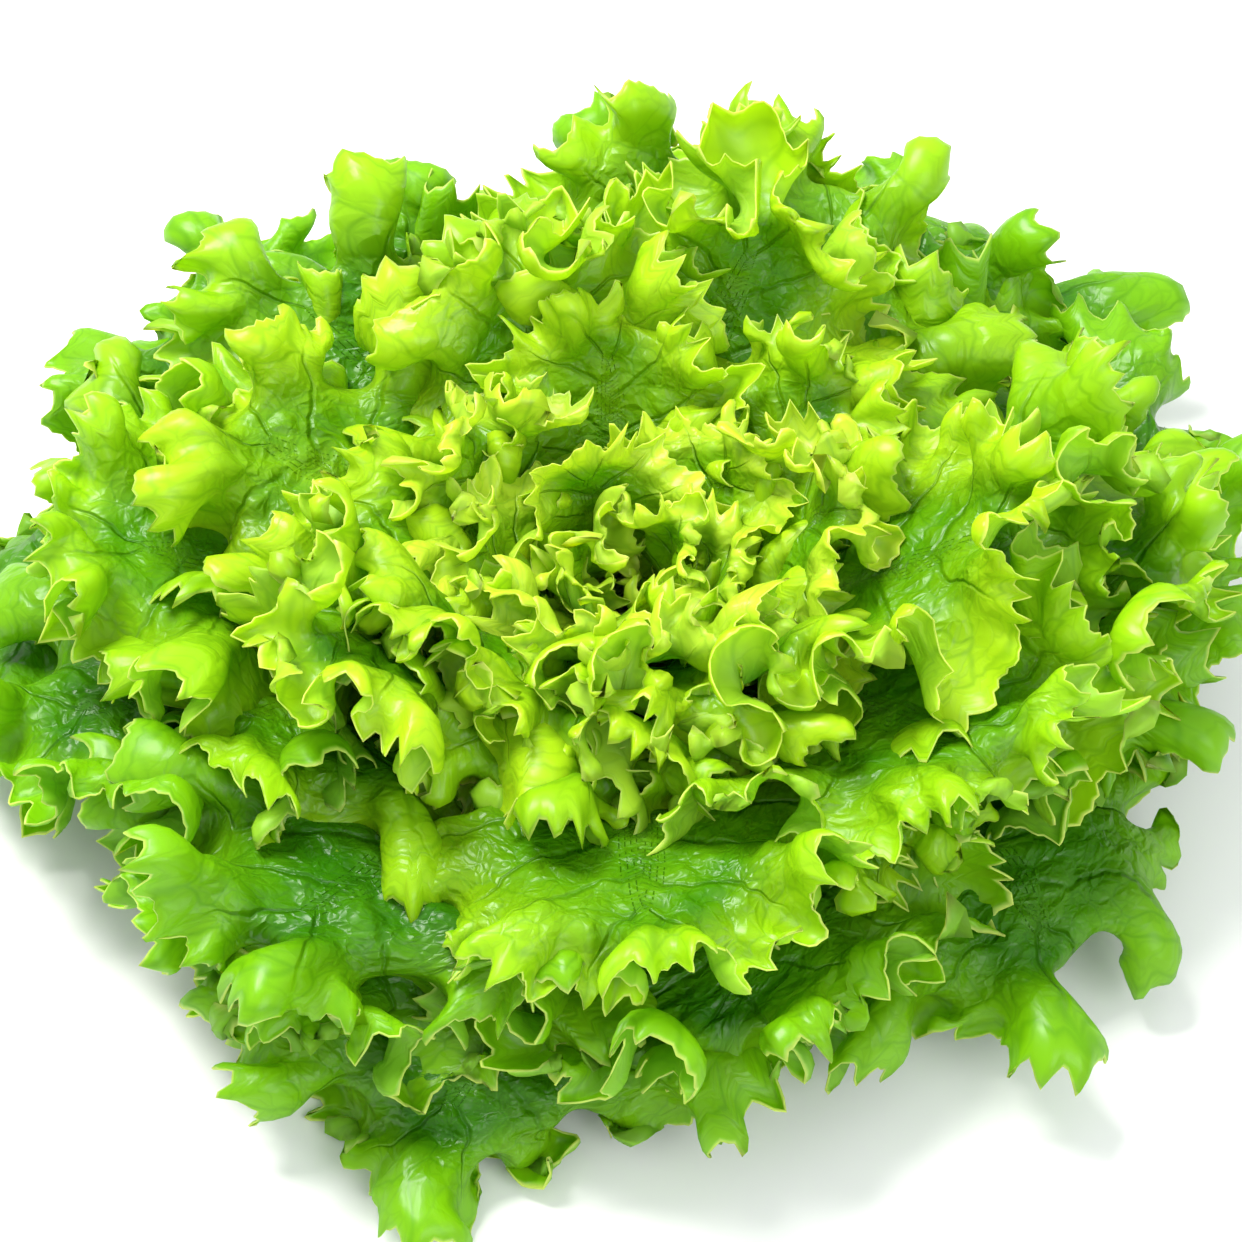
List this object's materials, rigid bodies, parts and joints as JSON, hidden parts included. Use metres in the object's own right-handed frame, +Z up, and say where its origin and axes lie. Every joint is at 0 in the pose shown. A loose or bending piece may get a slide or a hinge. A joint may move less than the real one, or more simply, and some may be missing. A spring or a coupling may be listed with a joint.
{
  "type": "curly endive head",
  "caption": "Open head of frilly green endive: broad ruffled leaves spiral round a short cut stem and stand on its flat cut face.",
  "frame": {"origin": "centre of the stem's cut face, which the head stands on", "axes": "+Z up from the cut face; the head leans towards -Y and stands highest towards +Y"},
  "size_m": [0.3459, 0.3098, 0.118],
  "materials": {
    "outer_leaf": "waxy dark green leaf, satin",
    "middle_leaf": "waxy green leaf, satin",
    "inner_leaf": "yellow-green leaf, satin",
    "heart_leaf": "pale yellow-green leaf, satin",
    "stem": "moist cream-green cut stem"
  },
  "bodies": {
    "root": {"stem": "stem", "outer_leaf_01": "outer_leaf", "outer_leaf_02": "outer_leaf", "outer_leaf_03": "outer_leaf", "outer_leaf_04": "outer_leaf", "outer_leaf_05": "outer_leaf", "outer_leaf_06": "outer_leaf", "outer_leaf_07": "outer_leaf", "outer_leaf_08": "outer_leaf", "outer_leaf_09": "outer_leaf", "outer_leaf_10": "outer_leaf", "outer_leaf_11": "outer_leaf", "outer_leaf_12": "outer_leaf", "outer_leaf_13": "outer_leaf", "outer_leaf_14": "outer_leaf", "middle_leaf_01": "middle_leaf", "middle_leaf_02": "middle_leaf", "middle_leaf_03": "middle_leaf", "middle_leaf_04": "middle_leaf", "middle_leaf_05": "middle_leaf", "middle_leaf_06": "middle_leaf", "middle_leaf_07": "middle_leaf", "middle_leaf_08": "middle_leaf", "middle_leaf_09": "middle_leaf", "middle_leaf_10": "middle_leaf", "middle_leaf_11": "middle_leaf", "middle_leaf_12": "middle_leaf", "middle_leaf_13": "middle_leaf", "middle_leaf_14": "middle_leaf", "inner_leaf_01": "inner_leaf", "inner_leaf_02": "inner_leaf", "inner_leaf_03": "inner_leaf", "inner_leaf_04": "inner_leaf", "inner_leaf_05": "inner_leaf", "inner_leaf_06": "inner_leaf", "inner_leaf_07": "inner_leaf", "inner_leaf_08": "inner_leaf", "inner_leaf_09": "inner_leaf", "inner_leaf_10": "inner_leaf", "inner_leaf_11": "inner_leaf", "inner_leaf_12": "inner_leaf", "heart_leaf_01": "heart_leaf", "heart_leaf_02": "heart_leaf", "heart_leaf_03": "heart_leaf", "heart_leaf_04": "heart_leaf", "heart_leaf_05": "heart_leaf", "heart_leaf_06": "heart_leaf", "heart_leaf_07": "heart_leaf", "heart_leaf_08": "heart_leaf", "heart_leaf_09": "heart_leaf", "heart_leaf_10": "heart_leaf"}
  },
  "joints": []
}
